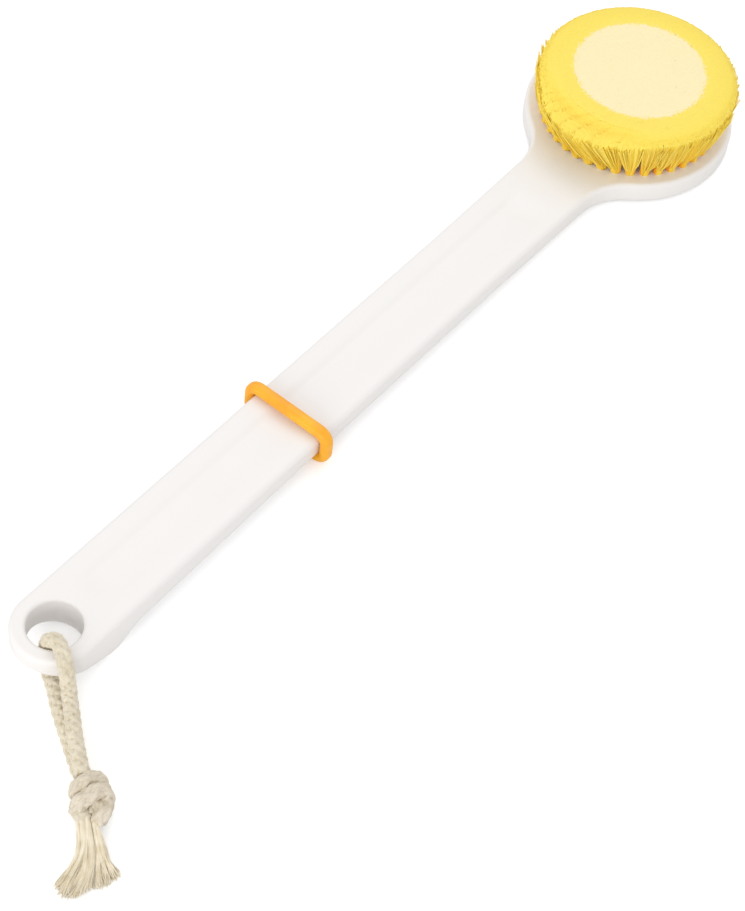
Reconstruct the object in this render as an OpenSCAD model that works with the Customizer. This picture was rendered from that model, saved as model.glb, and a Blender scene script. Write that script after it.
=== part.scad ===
// Long-handled body dry brush, lying on its back with the bristles up.
// Millimetres. The origin is on the resting face, under the middle of the round head.
// The handle runs along -X to the hanging hole, and +Z is up through the bristles.

/* [Whole brush] */
// Length over all, from the far rim of the head to the tip of the handle
brush_len = 400; // [390:1:410]
// Rise of the handle towards the hanging hole, in degrees
rise = 1.2; // [1.1:0.05:1.3]

/* [Head] */
// Radius of the round head
head_r = 43.5; // [43:0.1:45]
// Height of the face that the tufts stand on
deck_z = 10; // [9.8:0.1:10.4]
// Height of the lower edge of the rim, above the middle of the crowned back
rim_z = 0.9; // [0.6:0.1:1.2]
// Radius of the flat that the back rests on
rest_r = 20; // [12:1:30]
// Rounding of the rim's edges
rim_round = 1.2; // [0.6:0.1:1.6]
// Radius of the hollow where the neck runs into the head
neck_fillet_r = 25; // [20:1:30]

/* [Shaft] */
// Width at the neck
neck_w = 32.8; // [32:0.1:33.6]
// Width from the grip ring to the hanging hole
shaft_w = 31.4; // [31:0.1:31.6]
// Thickness from the neck to the grip ring
shaft_t = 8.6; // [8.2:0.1:8.7]
// Thickness where the shaft meets the heel
grip_t = 11; // [10:0.1:11.5]
// Rounding of the long edges
edge_round = 1.6; // [1:0.1:2]
// Depth of the shallow channel along the top
channel_depth = 0.8; // [0.4:0.1:1]
// Radius of the curve across that channel
channel_r = 80; // [70:1:90]

/* [Hanging end] */
// Radius of the hanging hole
hole_r = 9.8; // [9.7:0.05:9.9]
// Slope of the underside from the heel up to the tip, rise over run
tip_slope = 0.31; // [0.3:0.005:0.33]

/* [Tufts] */
// Radius of the outer row of tuft holes
row_r = 36.2; // [36:0.1:36.4]
// Distance between rows
row_pitch = 6; // [5.9:0.05:6]
// Distance between tufts along a row
tuft_pitch = 5.7; // [5.6:0.05:5.8]
// Height of the trimmed bristles above the deck
tuft_h = 23; // [18:0.5:26]
// Radius of a tuft hole
tuft_hole_r = 1.8; // [1.75:0.05:1.85]
// Depth of a tuft hole
tuft_hole_depth = 6.5; // [6:0.1:6.8]
// Radius of a tuft at its trimmed end
tuft_tip_r = 2.6; // [2.3:0.1:2.6]

/* [Anchors] */
// Thickness of the flat wire
anchor_t = 0.4; // [0.3:0.05:0.5]
// Height of the wire on edge
anchor_h = 1.6; // [1.2:0.1:2]
// Length of an anchor, longer than the hole is wide so that it bites
anchor_len = 4.6; // [4.4:0.1:4.8]

/* [Grip ring] */
// Where the ring sits along the handle
ring_x = -218.5; // [-225:0.5:-110]
// Width of the ring's section along the handle
ring_w = 5.2; // [4.6:0.1:6]
// Thickness of the ring's section
ring_t = 4.2; // [4:0.1:4.3]
// Radius of the ring's inner corners
ring_corner_r = 2; // [1.8:0.1:2.6]

/* [Rope] */
// Radius of the rope
rope_r = 3; // [2.6:0.1:3.1]

/* [Hidden] */
$fn = 64;
RIM_FN = 128;
HULL_FN = 32;

// The handle's level pieces are drawn with their top at deck_z, then turned about the neck.
end_r = shaft_w / 2;
end_x = head_r + end_r - brush_len;
fillet_y = neck_w / 2 + neck_fillet_r;
fillet_x = -sqrt(pow(head_r + neck_fillet_r, 2) - pow(fillet_y, 2));
neck_x = fillet_x;
waist_x = ring_x - 10;
flare_x = -112;
channel_x1 = end_x + 28;
channel_x2 = neck_x - 12;
heel_start_x = end_x + 23.5;
heel_x = end_x + 14.5;
heel_flat = 3;
side_cover = 60;
slab = 0.1;

// Height of the handle's top face, and of its underside where the thickness is t
function top_z(x) = deck_z + (neck_x - x) * tan(rise);
function under_z(x, t) = top_z(x) - t;

// Tufts: rows counted from the outside, each with its radius, tuft count, outward lean,
// and how much lower it is trimmed than the middle of the brush
ROW_COUNT = 6;
LEANS = [2.7, 1.4, -0.5, -1.7, -2, -0.3];
TRIMS = [1.8, 0.6, 0, 0, 0, 0];
function row_radius(row) = row_r - (row - 1) * row_pitch;
function row_tufts(row) = round(2 * PI * row_radius(row) / tuft_pitch);
hole_floor_z = deck_z - tuft_hole_depth;
tuft_clear = 0.05;
root_r = tuft_hole_r - tuft_clear;
root_top_z = deck_z + 0.3;
root_sink = 0.8;
root_step = 0.2;
anchor_z = hole_floor_z + 0.4;

// Grip ring: the gap round the shaft is the same above and below, and narrower at the sides
ring_gap = 0.35;
ring_side_gap = 0.3;
ring_half_w = shaft_w / 2 + ring_side_gap;
ring_half_h = shaft_t / 2 + ring_gap;

// Rope: both strands start at the bight in the hole, and run to the knot.
BIGHT = [-347.3, -2, 10];
FRONT_ROUTE = [
    BIGHT, [-347.1, -2.4, 13], [-346.7, -3.4, 16.3], [-346.2, -5.6, 18.5], [-346.8, -8, 19.4],
    [-348, -10.6, 19.5], [-350, -13.7, 19.2], [-351.7, -16.2, 16.9], [-352.5, -17.3, 13],
    [-353.5, -18.6, 10], [-355.5, -20.9, 8], [-359.2, -25.4, 8], [-361.7, -28.3, 8.4],
    [-364.2, -31.3, 8.9], [-367.6, -35.7, 9.2], [-371, -40.3, 9], [-373, -43.5, 8.6]
];
BACK_ROUTE = [
    BIGHT, [-347.3, -2.1, 7.6], [-347.4, -2.5, 5.4], [-348.7, -3.6, 3.6], [-350.1, -5.4, 3.05],
    [-351.7, -8.4, 3], [-353.4, -11.2, 3], [-355.7, -14.4, 3], [-358.1, -17.8, 3],
    [-360.7, -22, 3], [-363.7, -27, 3], [-366.7, -32.2, 3], [-369.7, -37.4, 3], [-372, -41.6, 3.2]
];
ROPE_SIDES = 10;

// Knot: two fat turns and a lobe. The frayed ends fan out from it on the floor.
KNOT_TURNS = [
    [[-374.5, -46.5, 6.2], 5.6], [[-380.5, -47.5, 6], 5.4], [[-374.8, -52.5, 6], 5.4],
    [[-380.8, -52.8, 5.6], 5.2], [[-379.5, -57.6, 4.2], 4]
];
LEFT_FRAY = [[[-384.8, -52.6, 2.6], 2.1], [[-405.6, -63.6, 1.6], 1.6], [[-404, -68.8, 1.6], 1.6]];
RIGHT_FRAY = [[[-382.4, -56.8, 2.6], 2.1], [[-400.2, -73, 1.6], 1.6], [[-391.6, -75.4, 1.6], 1.6]];

module rising() {
    translate([neck_x, 0, deck_z]) rotate([0, rise, 0]) translate([-neck_x, 0, -deck_z]) children();
}

// A thin slice of the shaft: a rectangle with rounded corners, its top at deck_z
module shaft_slice(x, w, t) {
    translate([x, 0, deck_z - t]) rotate([90, 0, 90]) linear_extrude(slab)
        for (y = [-1, 1], z = [edge_round, t - edge_round])
            translate([y * (w / 2 - edge_round), z]) circle(edge_round, $fn = HULL_FN);
}

module shaft_length(x1, w1, t1, x2, w2, t2) {
    rising() hull() {
        shaft_slice(x1, w1, t1);
        shaft_slice(x2 - slab, w2, t2);
    }
}

// The head: a disc with a rounded rim and a back that is crowned round a resting flat
module head() {
    inner_r = head_r - rim_round;
    rotate_extrude($fn = RIM_FN) {
        polygon([[0, 0], [rest_r, 0], [inner_r, rim_z], [inner_r, deck_z], [0, deck_z]]);
        translate([0, rim_z + rim_round]) square([head_r, deck_z - rim_z - 2 * rim_round]);
        translate([inner_r, rim_z + rim_round]) circle(rim_round);
        translate([inner_r, deck_z - rim_round]) circle(rim_round);
    }
}

// The neck: a plate whose two sides are hollow curves that meet the head's rim smoothly
module neck() {
    touch = head_r / (head_r + neck_fillet_r);
    translate([0, 0, deck_z - shaft_t]) linear_extrude(shaft_t) difference() {
        polygon([
            [fillet_x, -fillet_y], [fillet_x * touch, -fillet_y * touch], [0, 0],
            [fillet_x * touch, fillet_y * touch], [fillet_x, fillet_y]
        ]);
        for (side = [-1, 1]) translate([fillet_x, side * fillet_y]) circle(neck_fillet_r, $fn = RIM_FN);
    }
}

// The hanging end: the outline from above, cut by the outline from the side
module hanging_end() {
    intersection() {
        union() {
            translate([end_x, 0, 0]) cylinder(h = 2 * deck_z, r = end_r, $fn = RIM_FN);
            translate([end_x, -shaft_w / 2, 0]) cube([heel_start_x - end_x, shaft_w, 2 * deck_z]);
        }
        translate([0, side_cover / 2, 0]) rotate([90, 0, 0]) linear_extrude(side_cover) polygon([
            [heel_start_x, top_z(heel_start_x)],
            [end_x - 2 * end_r, top_z(end_x - 2 * end_r)],
            [end_x - 2 * end_r, tip_slope * (heel_x - heel_flat - end_x + 2 * end_r)],
            [heel_x - heel_flat, 0],
            [heel_x, 0],
            [heel_start_x, under_z(heel_start_x, grip_t)]
        ]);
    }
}

module tuft_holes() {
    for (row = [1 : ROW_COUNT], i = [0 : row_tufts(row) - 1])
        rotate(360 * i / row_tufts(row)) translate([row_radius(row), 0, hole_floor_z])
            cylinder(h = tuft_hole_depth + 1, r = tuft_hole_r, $fn = HULL_FN);
    translate([0, 0, hole_floor_z]) cylinder(h = tuft_hole_depth + 1, r = tuft_hole_r, $fn = HULL_FN);
}

// The shallow channel along the top: a long round hollow that runs out at both ends
module channel() {
    rising() translate([channel_x1, 0, deck_z - channel_depth + channel_r]) {
        rotate([0, 90, 0]) cylinder(h = channel_x2 - channel_x1, r = channel_r, $fn = 4 * RIM_FN);
        for (x = [0, channel_x2 - channel_x1]) translate([x, 0, 0]) sphere(channel_r, $fn = 4 * RIM_FN);
    }
}

module handle_body() {
    color("whitesmoke") difference() {
        union() {
            head();
            neck();
            shaft_length(flare_x, shaft_w, shaft_t, neck_x + slab, neck_w, shaft_t);
            shaft_length(waist_x, shaft_w, shaft_t, flare_x + slab, shaft_w, shaft_t);
            shaft_length(heel_start_x - slab, shaft_w, grip_t, waist_x + slab, shaft_w, shaft_t);
            hanging_end();
        }
        channel();
        rising() translate([end_x, 0, -deck_z]) cylinder(h = 4 * deck_z, r = hole_r, $fn = RIM_FN);
        tuft_holes();
    }
}

// One tuft: folded into its hole, slotted by its anchor, and spreading to a trimmed top
module tuft(lean, trim) {
    intersection() {
        difference() {
            union() {
                translate([0, 0, hole_floor_z + tuft_clear])
                    cylinder(h = root_top_z - hole_floor_z - tuft_clear, r = root_r, $fn = HULL_FN);
                translate([0, 0, deck_z - root_sink]) rotate([0, lean, 0])
                    cylinder(h = tuft_h + 4, r1 = root_r - root_step, r2 = tuft_tip_r, $fn = HULL_FN);
            }
            translate([-anchor_t / 2 - tuft_clear, -tuft_tip_r, 0])
                cube([anchor_t + 2 * tuft_clear, 2 * tuft_tip_r, anchor_z + anchor_h + tuft_clear]);
        }
        translate([-side_cover / 2, -side_cover / 2, 0])
            cube([side_cover, side_cover, deck_z + tuft_h - trim]);
    }
}

module tuft_row(row, colour) {
    color(colour) for (i = [0 : row_tufts(row) - 1])
        rotate(360 * i / row_tufts(row)) translate([row_radius(row), 0, 0])
            tuft(LEANS[row - 1], TRIMS[row - 1]);
}

module tuft_centre() {
    color("cornsilk") tuft(0, 0);
}

module anchor() {
    translate([-anchor_t / 2, -anchor_len / 2, anchor_z]) cube([anchor_t, anchor_len, anchor_h]);
}

module anchor_row(row) {
    color("silver") for (i = [0 : row_tufts(row) - 1])
        rotate(360 * i / row_tufts(row)) translate([row_radius(row), 0, 0]) anchor();
}

module anchor_centre() {
    color("silver") anchor();
}

// The ring's section, with its inner side at x = 0
module ring_section() {
    half = ring_t / 2;
    translate([half, 0]) {
        for (side = [-1, 1]) translate([0, side * (ring_w / 2 - half)]) circle(half);
        translate([-half, half - ring_w / 2]) square([ring_t, ring_w - ring_t]);
    }
}

module ring_corner() {
    rotate_extrude(angle = 90) translate([ring_corner_r, 0]) ring_section();
}

module ring_side(length) {
    rotate([90, 0, 0]) linear_extrude(length) ring_section();
}

module grip_ring() {
    run_w = ring_half_w - ring_corner_r;
    run_h = ring_half_h - ring_corner_r;
    color("orange") rising() translate([ring_x, 0, deck_z - shaft_t / 2]) rotate([90, 0, 90]) {
        for (turn = [0, 180]) rotate(turn) {
            translate([run_w, run_h, 0]) ring_corner();
            translate([-run_w, run_h, 0]) rotate(90) ring_corner();
            translate([ring_half_w, run_h, 0]) ring_side(2 * run_h);
            translate([-run_w, ring_half_h, 0]) rotate(90) ring_side(2 * run_w);
        }
    }
}

// A tube of radius r along a route, flat at both ends
function unit(v) = v / norm(v);
function heading(route, i) =
    unit(route[min(i + 1, len(route) - 1)] - route[max(i - 1, 0)]);
function ring_points(route, i, r, sides) =
    let (
        along = heading(route, i),
        across = unit(cross(along, [0.6, -0.8, 0.05])),
        up = cross(along, across)
    )
    [for (k = [0 : sides - 1]) let (a = 360 * k / sides) route[i] + r * (cos(a) * across + sin(a) * up)];

module tube(route, r, sides) {
    last = (len(route) - 1) * sides;
    points = [for (i = [0 : len(route) - 1]) each ring_points(route, i, r, sides)];
    walls = [
        for (i = [0 : len(route) - 2], k = [0 : sides - 1])
            let (a = i * sides + k, b = i * sides + (k + 1) % sides)
            each [[a, b, b + sides], [a, b + sides, a + sides]]
    ];
    near_cap = [for (k = [sides - 1 : -1 : 0]) k];
    far_cap = [for (k = [0 : sides - 1]) last + k];
    polyhedron(points, concat(walls, [near_cap, far_cap]), convexity = 4);
}

module rope_front_strand() {
    color("wheat") tube(FRONT_ROUTE, rope_r, ROPE_SIDES);
}

module rope_back_strand() {
    color("wheat") tube(BACK_ROUTE, rope_r, ROPE_SIDES);
}

// A closed skin round a few balls, each given as its centre and radius
module skin(balls) {
    hull() for (ball = balls) translate(ball[0]) sphere(ball[1], $fn = HULL_FN);
}

module rope_knot() {
    color("tan") skin(KNOT_TURNS);
}

module frayed_end_left() {
    color("wheat") skin(LEFT_FRAY);
}

module frayed_end_right() {
    color("wheat") skin(RIGHT_FRAY);
}

handle_body();
tuft_row(1, "gold");  // tuft_row_1
tuft_row(2, "gold");  // tuft_row_2
tuft_row(3, "cornsilk");  // tuft_row_3
tuft_row(4, "cornsilk");  // tuft_row_4
tuft_row(5, "cornsilk");  // tuft_row_5
tuft_row(6, "cornsilk");  // tuft_row_6
tuft_centre();
anchor_row(1);  // anchor_row_1
anchor_row(2);  // anchor_row_2
anchor_row(3);  // anchor_row_3
anchor_row(4);  // anchor_row_4
anchor_row(5);  // anchor_row_5
anchor_row(6);  // anchor_row_6
anchor_centre();
grip_ring();
rope_front_strand();
rope_back_strand();
rope_knot();
frayed_end_left();
frayed_end_right();
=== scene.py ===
import math
import bpy
import numpy as np
from mathutils import Matrix, Vector


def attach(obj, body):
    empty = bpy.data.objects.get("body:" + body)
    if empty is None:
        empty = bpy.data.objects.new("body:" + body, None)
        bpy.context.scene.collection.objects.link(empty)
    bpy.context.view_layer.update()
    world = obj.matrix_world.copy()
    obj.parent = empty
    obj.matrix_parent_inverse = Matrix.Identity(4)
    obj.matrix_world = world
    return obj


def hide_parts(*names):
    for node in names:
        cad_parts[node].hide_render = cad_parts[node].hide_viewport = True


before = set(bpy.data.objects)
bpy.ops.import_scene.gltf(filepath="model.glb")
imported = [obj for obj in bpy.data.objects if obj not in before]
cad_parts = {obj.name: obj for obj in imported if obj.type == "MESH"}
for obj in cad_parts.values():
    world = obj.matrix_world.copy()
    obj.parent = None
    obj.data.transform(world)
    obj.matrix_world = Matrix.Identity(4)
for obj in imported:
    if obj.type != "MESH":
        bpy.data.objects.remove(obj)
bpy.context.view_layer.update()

mm = 0.001
randomTurn = 6.283  # a random turn is anywhere from 0 to this, in radians
print("frame loaded:", len(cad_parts), "CAD nodes")


def linear(hexColour):  # sRGB hex to the linear colour that a shader takes
    parts = [int(hexColour[i:i + 2], 16) / 255 for i in (1, 3, 5)]
    return [c / 12.92 if c <= 0.04045 else ((c + 0.055) / 1.055) ** 2.4 for c in parts] + [1.0]


def newMaterial(name):  # a material with no nodes yet
    material = bpy.data.materials.new(name)
    material.use_nodes = True
    material.node_tree.nodes.clear()
    return material


def addNode(material, kind, settings={}, values={}, links={}):
    # settings are the node's own options, values go on its sockets, links come into them
    node = material.node_tree.nodes.new(kind)
    for key, value in settings.items():
        setattr(node, key, value)
    for key, value in values.items():
        node.inputs[key].default_value = value
    for key, (other, output) in links.items():
        material.node_tree.links.new(other.outputs[output], node.inputs[key])
    return node


def setRamp(node, stops):  # colour stops as (place, colour)
    ramp = node.color_ramp
    while len(ramp.elements) < len(stops):
        ramp.elements.new(0.5)
    for element, (place, colour) in zip(ramp.elements, stops):
        element.position = place
        element.color = colour
    return node


def deselectAll():
    if bpy.context.object and bpy.context.object.mode != "OBJECT":
        bpy.ops.object.mode_set(mode="OBJECT")
    bpy.ops.object.select_all(action="DESELECT")


def makeActive(piece):
    deselectAll()
    piece.select_set(True)
    bpy.context.view_layer.objects.active = piece


def settle(piece):  # the place goes into the mesh, and the object stays at the origin
    makeActive(piece)
    bpy.ops.object.transform_apply(location=True, rotation=True, scale=True)


def applyModifier(piece, kind, **settings):
    makeActive(piece)
    modifier = piece.modifiers.new(kind.title(), kind)
    for key, value in settings.items():
        setattr(modifier, key, value)
    bpy.ops.object.modifier_apply(modifier=modifier.name)


def cutWith(piece, cutter, operation="DIFFERENCE"):
    applyModifier(piece, "BOOLEAN", operation=operation, object=cutter, solver="EXACT")
    bpy.data.objects.remove(cutter)


def smoothStep(share):  # 0 to 1, starting and ending softly
    return share * share * (3 - 2 * share)


def meshPiece(name, points, faces):
    mesh = bpy.data.meshes.new(name)
    mesh.from_pydata([tuple(p) for p in points], [], [tuple(int(i) for i in f) for f in faces])
    piece = bpy.data.objects.new(name, mesh)
    bpy.context.collection.objects.link(piece)
    return piece


cameraSpec = {
    "place": (-0.6036, -0.2944, 0.6543),
    "heading": -56.41,  # turned about the vertical, degrees
    "down": 53.76,      # looking down, degrees
    "roll": 6.90,
    "lens": 86.65,      # mm, on a 36 mm high frame
}


def makeCamera():
    data = bpy.data.cameras.new("Camera")
    data.sensor_fit = "VERTICAL"
    data.sensor_height = 36
    data.lens = cameraSpec["lens"]
    data.clip_start = 0.01
    camera = bpy.data.objects.new("Camera", data)
    bpy.context.collection.objects.link(camera)
    heading, down, roll = (math.radians(cameraSpec[k]) for k in ("heading", "down", "roll"))
    turn = Matrix.Rotation(heading, 4, "Z") @ Matrix.Rotation(math.pi / 2 - down, 4, "X")
    camera.matrix_world = Matrix.Translation(cameraSpec["place"]) @ turn @ Matrix.Rotation(roll, 4, "Z")
    bpy.context.scene.camera = camera


makeCamera()
print("camera placed")

# Rigid PP, injection-moulded: bright white, a soft satin sheen and faint unevenness from the mould.
plasticSpec = {
    "white": "#f2efed",
    "roughness": 0.38,
    "glossier": 0.04,         # how far the gloss wanders to either side
    "duller": 0.06,
    "wavesPerMetre": 28.0,    # so each one is about 36 mm long
    "mouldGrain": 0.35 * mm,
    "grainCoarser": 6,        # too fine to show, so drawn six times as coarse
}


def makeWhitePlastic():
    spec = plasticSpec
    material = newMaterial("mouldedWhitePolypropylene")
    place = addNode(material, "ShaderNodeTexCoord")
    waves = addNode(material, "ShaderNodeTexNoise", values={"Scale": spec["wavesPerMetre"], "Detail": 2.0},
                    links={"Vector": (place, "Object")})
    grain = addNode(material, "ShaderNodeTexNoise",
                    values={"Scale": 1 / spec["mouldGrain"] / spec["grainCoarser"], "Detail": 2.0},
                    links={"Vector": (place, "Object")})
    gloss = addNode(material, "ShaderNodeMapRange",
                    values={"To Min": spec["roughness"] - spec["glossier"],
                            "To Max": spec["roughness"] + spec["duller"]},
                    links={"Value": (waves, "Fac")})
    bump = addNode(material, "ShaderNodeBump", values={"Strength": 0.04, "Distance": 0.05 * mm},
                   links={"Height": (grain, "Fac")})
    shader = addNode(material, "ShaderNodeBsdfPrincipled",
                     values={"Base Color": linear(spec["white"]), "IOR": 1.49},
                     links={"Roughness": (gloss, "Result"), "Normal": (bump, "Normal")})
    addNode(material, "ShaderNodeOutputMaterial", links={"Surface": (shader, "BSDF")})
    return material


# Drawn nylon filament, dyed through: each one a little lighter or darker than the next.
# Painted shade: the colour is paler at the cut tip and deeper towards the root, where little light gets in.
bristleSpec = {
    "yellow": {"root": "#ffa51c", "middle": "#ffd743", "tip": "#ffe75c"},
    "cream": {"root": "#fae0a4", "middle": "#ffecbc", "tip": "#fff0be"},
}


def makeBristleFilament(colourName):
    colours = bristleSpec[colourName]
    material = newMaterial("dyedNylonFilamentPaintedShade" + colourName.title())
    along = addNode(material, "ShaderNodeAttribute", {"attribute_name": "along"})
    shade = addNode(material, "ShaderNodeAttribute", {"attribute_name": "shade"})
    # the ramp paints the shade: deeper where 'along' is low, at the root and where little light reaches
    ramp = setRamp(addNode(material, "ShaderNodeValToRGB", links={"Fac": (along, "Fac")}),
                   [(0.05, linear(colours["root"])), (0.4, linear(colours["middle"])),
                    (1.0, linear(colours["tip"]))])
    level = addNode(material, "ShaderNodeMapRange", values={"To Min": 0.94, "To Max": 1.0},
                    links={"Value": (shade, "Fac")})
    colour = addNode(material, "ShaderNodeHueSaturation",
                     links={"Color": (ramp, "Color"), "Value": (level, "Result")})
    shader = addNode(material, "ShaderNodeBsdfPrincipled",
                     values={"Roughness": 0.42, "IOR": 1.53, "Sheen Weight": 1.0, "Sheen Roughness": 0.5,
                             "Sheen Tint": linear(colours["tip"])},
                     links={"Base Color": (colour, "Color")})
    addNode(material, "ShaderNodeOutputMaterial", links={"Surface": (shader, "BSDF")})
    return material


# Natural rubber, moulded: warm orange, a waxy sheen, and faint cloudy patches.
rubberSpec = {"orange": "#ffb91f", "deep": "#fba813", "roughness": 0.42, "cloud": 6.25 * mm}


def makeOrangeRubber():
    material = newMaterial("mouldedOrangeRubber")
    place = addNode(material, "ShaderNodeTexCoord")
    cloud = addNode(material, "ShaderNodeTexNoise", values={"Scale": 1 / rubberSpec["cloud"], "Detail": 3.0},
                    links={"Vector": (place, "Object")})
    colour = setRamp(addNode(material, "ShaderNodeValToRGB", links={"Fac": (cloud, "Fac")}),
                     [(0.35, linear(rubberSpec["deep"])), (0.65, linear(rubberSpec["orange"]))])
    bump = addNode(material, "ShaderNodeBump", values={"Strength": 0.12, "Distance": 0.05 * mm},
                   links={"Height": (cloud, "Fac")})
    shader = addNode(material, "ShaderNodeBsdfPrincipled",
                     values={"Roughness": rubberSpec["roughness"], "IOR": 1.52},
                     links={"Base Color": (colour, "Color"), "Normal": (bump, "Normal")})
    addNode(material, "ShaderNodeOutputMaterial", links={"Surface": (shader, "BSDF")})
    return material


# Undyed cotton, spun and braided: matt, warm cream, with fibres running along every yarn.
# The streaks are counted round a yarn and along a metre of it.
cottonSpec = {
    "braided": {"light": "#eae1cd", "dark": "#d2c6ab", "streaks": (26.0, 900.0, 1.0)},
    "combed": {"light": "#f8f0de", "dark": "#ddd0b0", "streaks": (2.0, 60.0, 1.0)},
    # the knot's cotton is a darker copy of the braided one: painted shade for the tight knot's crevices
    "knottedPaintedShade": {"light": "#e4dac8", "dark": "#c8bca4", "streaks": (26.0, 900.0, 1.0)},
}
cottonPatchesPerMetre = 260.0  # so each paler or darker patch is about 4 mm across


def makeCottonYarn(kind):
    colours = cottonSpec[kind]
    material = newMaterial(kind + "UndyedCotton")
    uv = addNode(material, "ShaderNodeUVMap", {"uv_map": "yarn"})
    stretch = addNode(material, "ShaderNodeMapping", links={"Vector": (uv, "UV")},
                      values={"Scale": colours["streaks"]})
    fibres = addNode(material, "ShaderNodeTexNoise", {"noise_dimensions": "2D"},
                     {"Scale": 1.0, "Detail": 2.0}, {"Vector": (stretch, "Vector")})
    place = addNode(material, "ShaderNodeTexCoord")
    patch = addNode(material, "ShaderNodeTexNoise", values={"Scale": cottonPatchesPerMetre, "Detail": 2.0},
                    links={"Vector": (place, "Object")})
    both = addNode(material, "ShaderNodeMath", {"operation": "ADD"}, {},
                   {0: (fibres, "Fac"), 1: (patch, "Fac")})
    half = addNode(material, "ShaderNodeMath", {"operation": "MULTIPLY"}, {1: 0.5}, {0: (both, "Value")})
    colour = setRamp(addNode(material, "ShaderNodeValToRGB", links={"Fac": (half, "Value")}),
                     [(0.3, linear(colours["dark"])), (0.62, linear(colours["light"]))])
    bump = addNode(material, "ShaderNodeBump", values={"Strength": 0.5, "Distance": 0.15 * mm},
                   links={"Height": (fibres, "Fac")})
    shader = addNode(material, "ShaderNodeBsdfPrincipled",
                     values={"Roughness": 0.9, "Sheen Weight": 0.2, "Sheen Roughness": 0.5},
                     links={"Base Color": (colour, "Color"), "Normal": (bump, "Normal")})
    addNode(material, "ShaderNodeOutputMaterial", links={"Surface": (shader, "BSDF")})
    return material


# Flat drawn steel wire: cool grey, finely scored along its length.
# A score is about 3.3 mm long and 0.17 mm high.
wireSpec = {"grey": "#b9b9b6", "scoresPerMetre": (300.0, 300.0, 6000.0)}


def makeAnchorWire():
    material = newMaterial("flatDrawnSteelWire")
    place = addNode(material, "ShaderNodeTexCoord")
    stretch = addNode(material, "ShaderNodeMapping", links={"Vector": (place, "Object")},
                      values={"Scale": wireSpec["scoresPerMetre"]})
    score = addNode(material, "ShaderNodeTexNoise", values={"Scale": 1.0},
                    links={"Vector": (stretch, "Vector")})
    gloss = addNode(material, "ShaderNodeMapRange", values={"To Min": 0.25, "To Max": 0.45},
                    links={"Value": (score, "Fac")})
    shader = addNode(material, "ShaderNodeBsdfPrincipled",
                     values={"Base Color": linear(wireSpec["grey"]), "Metallic": 1.0},
                     links={"Roughness": (gloss, "Result")})
    addNode(material, "ShaderNodeOutputMaterial", links={"Surface": (shader, "BSDF")})
    return material


whitePlastic = makeWhitePlastic()
yellowFilament = makeBristleFilament("yellow")
creamFilament = makeBristleFilament("cream")
orangeRubber = makeOrangeRubber()
braidedCotton = makeCottonYarn("braided")
combedCotton = makeCottonYarn("combed")
knotShadedCotton = makeCottonYarn("knottedPaintedShade")
anchorWire = makeAnchorWire()
print("materials made")

ropeSpec = {
    "body": "brush",
    "slot": "rope_cotton",
    "diameter": 6.0,
    "braidPitch": 15.0,     # length of one full turn of a yarn
    "yarns": 4,             # in each direction
    "yarnRadius": 1.05,
    "braidRadius": 1.72,
    "coreRadius": 2.1,      # fills the rope under its yarns
    "weave": 0.24,          # how far a yarn rises and dips
    "step": 0.55,           # distance between a yarn's rings
    "yarnSides": 8,
    "coreSides": 10,
    "fibreShift": 0.137,    # in metres along the pattern, so that no two yarns match
}
# Both strands start at the bight in the hanging hole and run to the knot, in millimetres.
frontRoute = [
    (-347.3, -2, 10), (-347.1, -2.4, 13), (-346.7, -3.4, 16.3), (-346.2, -5.6, 18.5), (-346.8, -8, 19.4),
    (-348, -10.6, 19.5), (-350, -13.7, 19.2), (-351.7, -16.2, 16.9), (-352.5, -17.3, 13),
    (-353.5, -18.6, 10), (-355.5, -20.9, 8), (-359.2, -25.4, 8), (-361.7, -28.3, 8.4),
    (-364.2, -31.3, 8.9), (-367.6, -35.7, 9.2), (-371, -40.3, 9), (-373, -43.5, 8.6),
]
backRoute = [
    (-347.3, -2, 10), (-347.3, -2.1, 7.6), (-347.4, -2.5, 5.4), (-348.7, -3.6, 3.6), (-350.1, -5.4, 3.05),
    (-351.7, -8.4, 3), (-353.4, -11.2, 3), (-355.7, -14.4, 3), (-358.1, -17.8, 3),
    (-360.7, -22, 3), (-363.7, -27, 3), (-366.7, -32.2, 3), (-369.7, -37.4, 3), (-372, -41.6, 3.2),
]


def distancesAlong(path):  # how far each point of a path is from its start
    return np.concatenate([[0], np.cumsum(np.linalg.norm(np.diff(path, axis=0), axis=1))])


def smoothRoute(route, step):  # a smooth curve through the route's points, evenly stepped
    p = np.array(route, float)
    p = np.vstack([2 * p[0] - p[1], p, 2 * p[-1] - p[-2]])
    fine = []
    for i in range(1, len(p) - 2):
        t = np.linspace(0, 1, 20, endpoint=False)[:, None]
        a, b, c, d = p[i - 1], p[i], p[i + 1], p[i + 2]
        fine.append(0.5 * (2 * b + (c - a) * t + (2 * a - 5 * b + 4 * c - d) * t ** 2
                           + (3 * b - 3 * c + d - a) * t ** 3))
    fine = np.vstack(fine + [p[-2:-1]])
    gone = distancesAlong(fine)
    at = np.linspace(0, gone[-1], max(4, int(gone[-1] / step) + 1))
    return np.stack([np.interp(at, gone, fine[:, k]) for k in range(3)], axis=1), at


def pathAxes(path):  # the direction and two steady normals at each point of a path
    along = np.gradient(path, axis=0)
    along /= np.linalg.norm(along, axis=1)[:, None]
    side = np.zeros_like(path)
    first = np.cross(along[0], (0.6, -0.8, 0.05))  # a direction that no path here sets out in
    side[0] = first / np.linalg.norm(first)
    for i in range(1, len(path)):
        carried = side[i - 1] - along[i] * np.dot(side[i - 1], along[i])
        side[i] = carried / np.linalg.norm(carried)
    return along, side, np.cross(along, side)


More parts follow.
